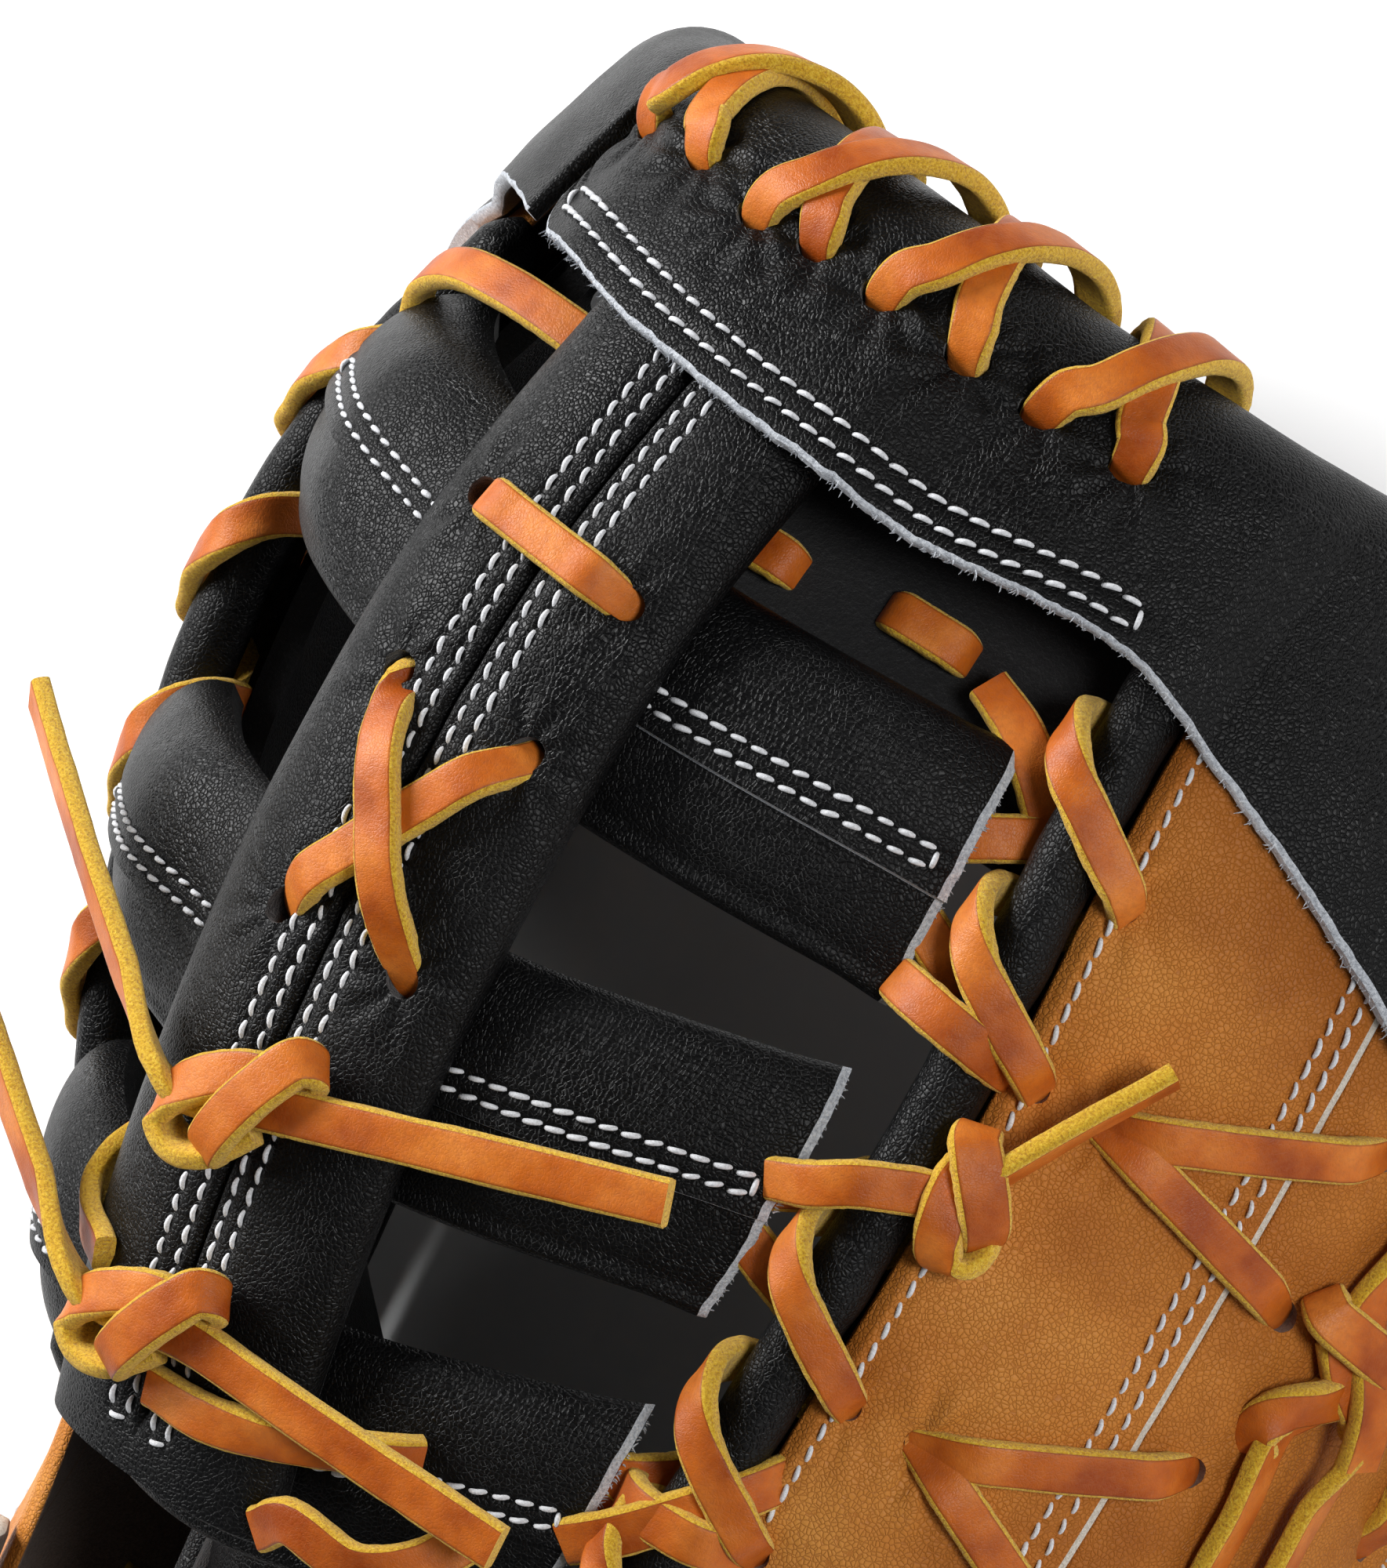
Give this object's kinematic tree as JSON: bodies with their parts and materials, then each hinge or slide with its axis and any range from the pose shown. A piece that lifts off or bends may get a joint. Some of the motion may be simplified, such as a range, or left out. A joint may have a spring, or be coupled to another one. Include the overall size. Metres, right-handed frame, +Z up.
{
  "type": "first baseman mitt",
  "caption": "Padded leather mitt with a deep pocket, a laced web of post and bars, and back panels of contrasting leather; open at the wrist.",
  "frame": {"origin": "on the ground, under the middle of the mitt's box", "axes": "+Z up with the palm on the ground, +Y from the wrist to the top of the web, +X to the thumb side"},
  "size_m": [0.2276, 0.3374, 0.153],
  "materials": {
    "black_leather": "grained, soft sheen",
    "tan_leather": "smooth grain, soft sheen",
    "lace_leather": "matte rawhide"
  },
  "bodies": {
    "root": {"palm_panel": "black_leather", "heel_binding": "black_leather", "tip_band": "black_leather", "finger_cap": "black_leather", "web_post": "black_leather", "web_bar_1": "black_leather", "web_bar_2": "black_leather", "web_bar_3": "black_leather", "roll_thumb": "black_leather", "roll_finger": "black_leather", "rim_thumb": "black_leather", "rim_finger": "black_leather", "thumb_back": "tan_leather", "thumb_side": "tan_leather", "finger_back": "tan_leather", "finger_side": "tan_leather", "back_bridge": "tan_leather", "wrist_strap": "tan_leather", "lace_top": "lace_leather", "lace_post_strap": "lace_leather", "lace_post_cross": "lace_leather", "lace_post_knot_upper": "lace_leather", "lace_post_knot_lower": "lace_leather", "lace_web_thumb": "lace_leather", "lace_web_finger": "lace_leather", "lace_thumb_v_upper": "lace_leather", "lace_thumb_v_lower": "lace_leather", "lace_thumb_knot": "lace_leather", "lace_side_knot": "lace_leather", "lace_rim_thumb": "lace_leather", "lace_rim_finger": "lace_leather"}
  },
  "joints": []
}
